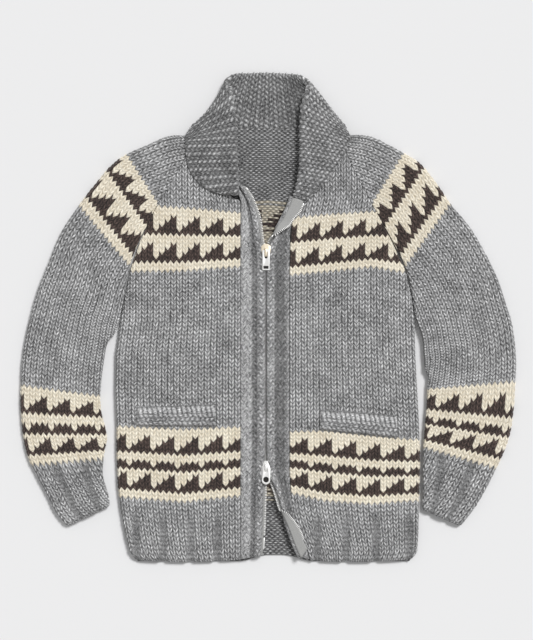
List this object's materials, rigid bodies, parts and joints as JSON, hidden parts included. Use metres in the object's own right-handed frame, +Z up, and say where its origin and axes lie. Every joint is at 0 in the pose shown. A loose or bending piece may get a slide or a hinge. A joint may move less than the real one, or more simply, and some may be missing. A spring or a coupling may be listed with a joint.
{
  "type": "knitted cardigan",
  "caption": "Chunky hand-knit cardigan with a shawl collar, pocket welts and a two-way metal zip, laid out flat.",
  "frame": {"origin": "centre of the garment's bounding box on the surface that it lies on", "axes": "+Y from the hem towards the collar, +X towards the viewer's right, +Z up from the surface"},
  "size_m": [0.794, 0.7827, 0.0236],
  "materials": {
    "grey_knit": "heather grey bulky wool with cream and dark brown bands",
    "zip_tape": "woven grey tape",
    "zip_metal": "polished"
  },
  "bodies": {
    "garment": {"back": "grey_knit", "front_left": "grey_knit", "front_right": "grey_knit", "sleeve_left": "grey_knit", "sleeve_right": "grey_knit", "collar": "grey_knit", "band_left": "grey_knit", "band_right": "grey_knit", "pocket_welt_left": "grey_knit", "pocket_welt_right": "grey_knit", "zip_half_left": "zip_tape", "zip_half_right": "zip_tape", "slider_top": "zip_metal", "slider_bottom": "zip_metal"},
    "top_pull": {"pull_top": "zip_metal"},
    "bottom_pull": {"pull_bottom": "zip_metal"}
  },
  "joints": [
    {"name": "top_pull_swing", "type": "hinge", "parent": "garment", "child": "top_pull", "pos_m": [-0.00385, 0.1095, 0.0177], "axis": [-1, 0, 0], "range_deg": [0, 160]},
    {"name": "bottom_pull_swing", "type": "hinge", "parent": "garment", "child": "bottom_pull", "pos_m": [-0.00385, -0.2365, 0.0177], "axis": [-1, 0, 0], "range_deg": [0, 160]}
  ]
}
